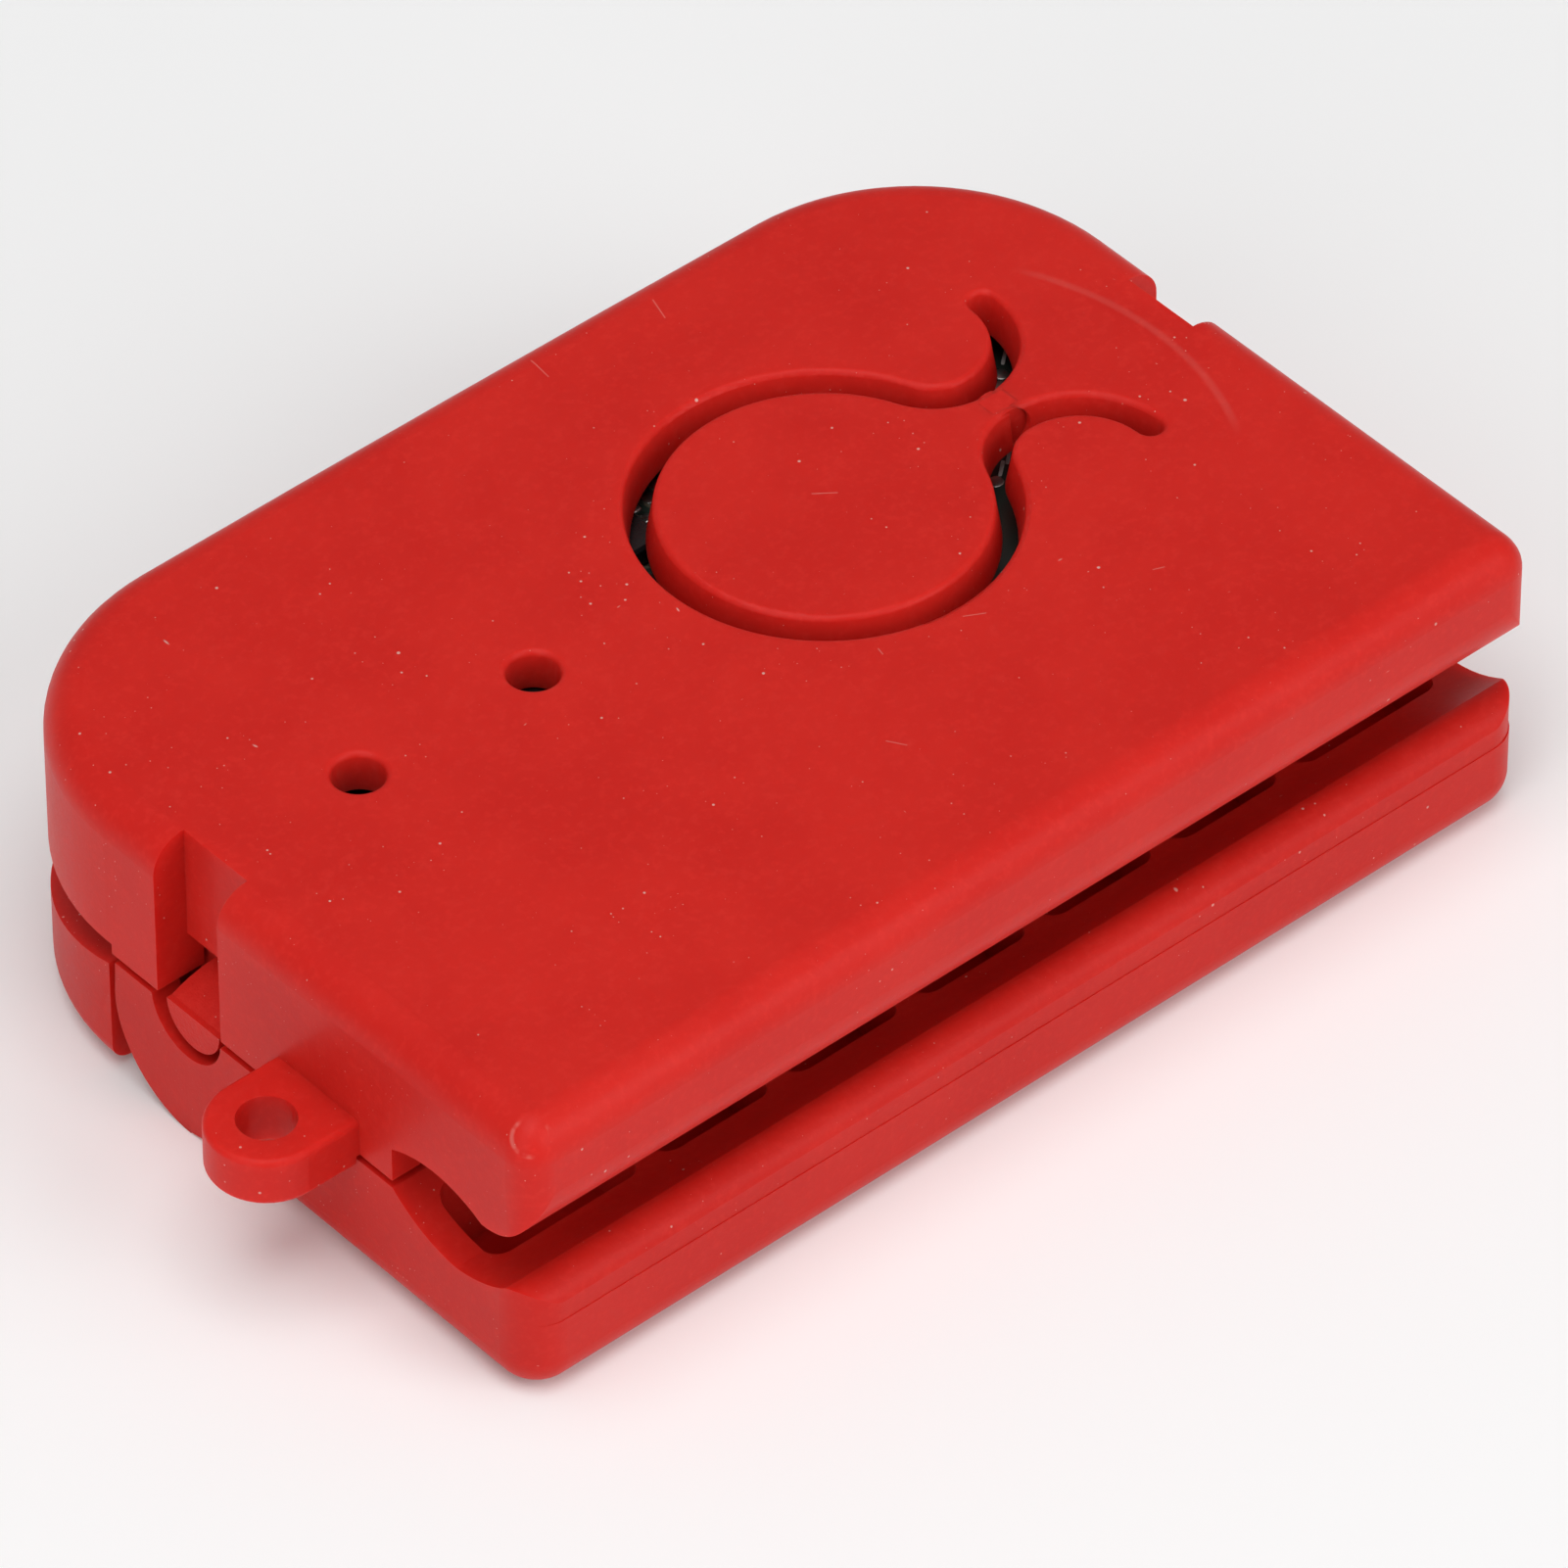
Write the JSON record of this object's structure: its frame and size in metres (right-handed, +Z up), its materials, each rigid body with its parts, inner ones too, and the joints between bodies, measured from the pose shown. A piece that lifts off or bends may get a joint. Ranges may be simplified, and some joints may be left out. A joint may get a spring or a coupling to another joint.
{
  "type": "clip-on metronome",
  "caption": "Pocket clip-on electronic metronome: flat housing with a large flexure push button, light and sound holes, key-ring lug, and a sprung clip jaw with a squeeze tail.",
  "frame": {"origin": "middle of the bounding box's floor, on the lower jaw's flat underside", "axes": "+X along the jaw's edge with the key-ring lug at -X, -Y towards the jaw's mouth, +Y towards the squeeze tail, +Z up through the housing's flat top"},
  "size_m": [0.0658, 0.0406, 0.016],
  "materials": {
    "red_shell": "semi-matte moulded",
    "red_inner": "semi-matte moulded",
    "spring_steel": "drawn wire",
    "board": "dark solder mask",
    "cell_steel": "satin",
    "contact_metal": "nickel plated",
    "black_plastic": "moulded",
    "switch_button": "moulded",
    "led_lens": "clear lens",
    "brass": "rolled",
    "capacitor_body": "ceramic body",
    "screw_steel": "zinc plated"
  },
  "bodies": {
    "jaw": {"lower_jaw": "red_shell", "tail_grip": "red_shell", "tail_screws": "screw_steel", "spring_left": "spring_steel", "spring_right": "spring_steel"},
    "lid": {"top_shell": "red_shell", "inner_tray": "red_inner", "battery_door": "red_inner", "trunnion_left": "red_inner", "trunnion_right": "red_inner", "circuit_board": "board", "coin_cell": "cell_steel", "negative_contact": "contact_metal", "positive_contact": "contact_metal", "switch_base": "black_plastic", "switch_cover": "contact_metal", "beat_led": "led_lens", "buzzer_case": "black_plastic", "piezo_disc": "brass", "controller_chip": "black_plastic", "crystal_can": "contact_metal", "capacitors": "capacitor_body", "resistors": "black_plastic", "tray_screws": "screw_steel", "board_screws": "screw_steel", "door_screw": "screw_steel"},
    "button": {"push_button": "red_shell"},
    "plunger": {"switch_plunger": "switch_button"}
  },
  "joints": [
    {"name": "jaw_hinge", "type": "hinge", "parent": "jaw", "child": "lid", "pos_m": [0.00287, 0.00285, 0.0071], "axis": [-1, 0, 0], "range_deg": [0, 3.5], "stiffness_Nm_per_rad": 0.06, "springref_deg": -28.65, "deforming": ["spring_left", "spring_right"]},
    {"name": "button_press", "type": "hinge", "parent": "lid", "child": "button", "pos_m": [0.02091, 0.00265, 0.01493], "axis": [0, -1, 0], "range_deg": [0, 1.2], "stiffness_Nm_per_rad": 0.25, "springref_deg": -1.15},
    {"name": "plunger_press", "type": "slide", "parent": "lid", "child": "plunger", "axis": [0, 0, -1], "range_m": [0, 0.0002]}
  ],
  "couplings": [
    {"joint": "plunger_press", "follows": "button_press", "m_per_rad": 0.0095}
  ]
}
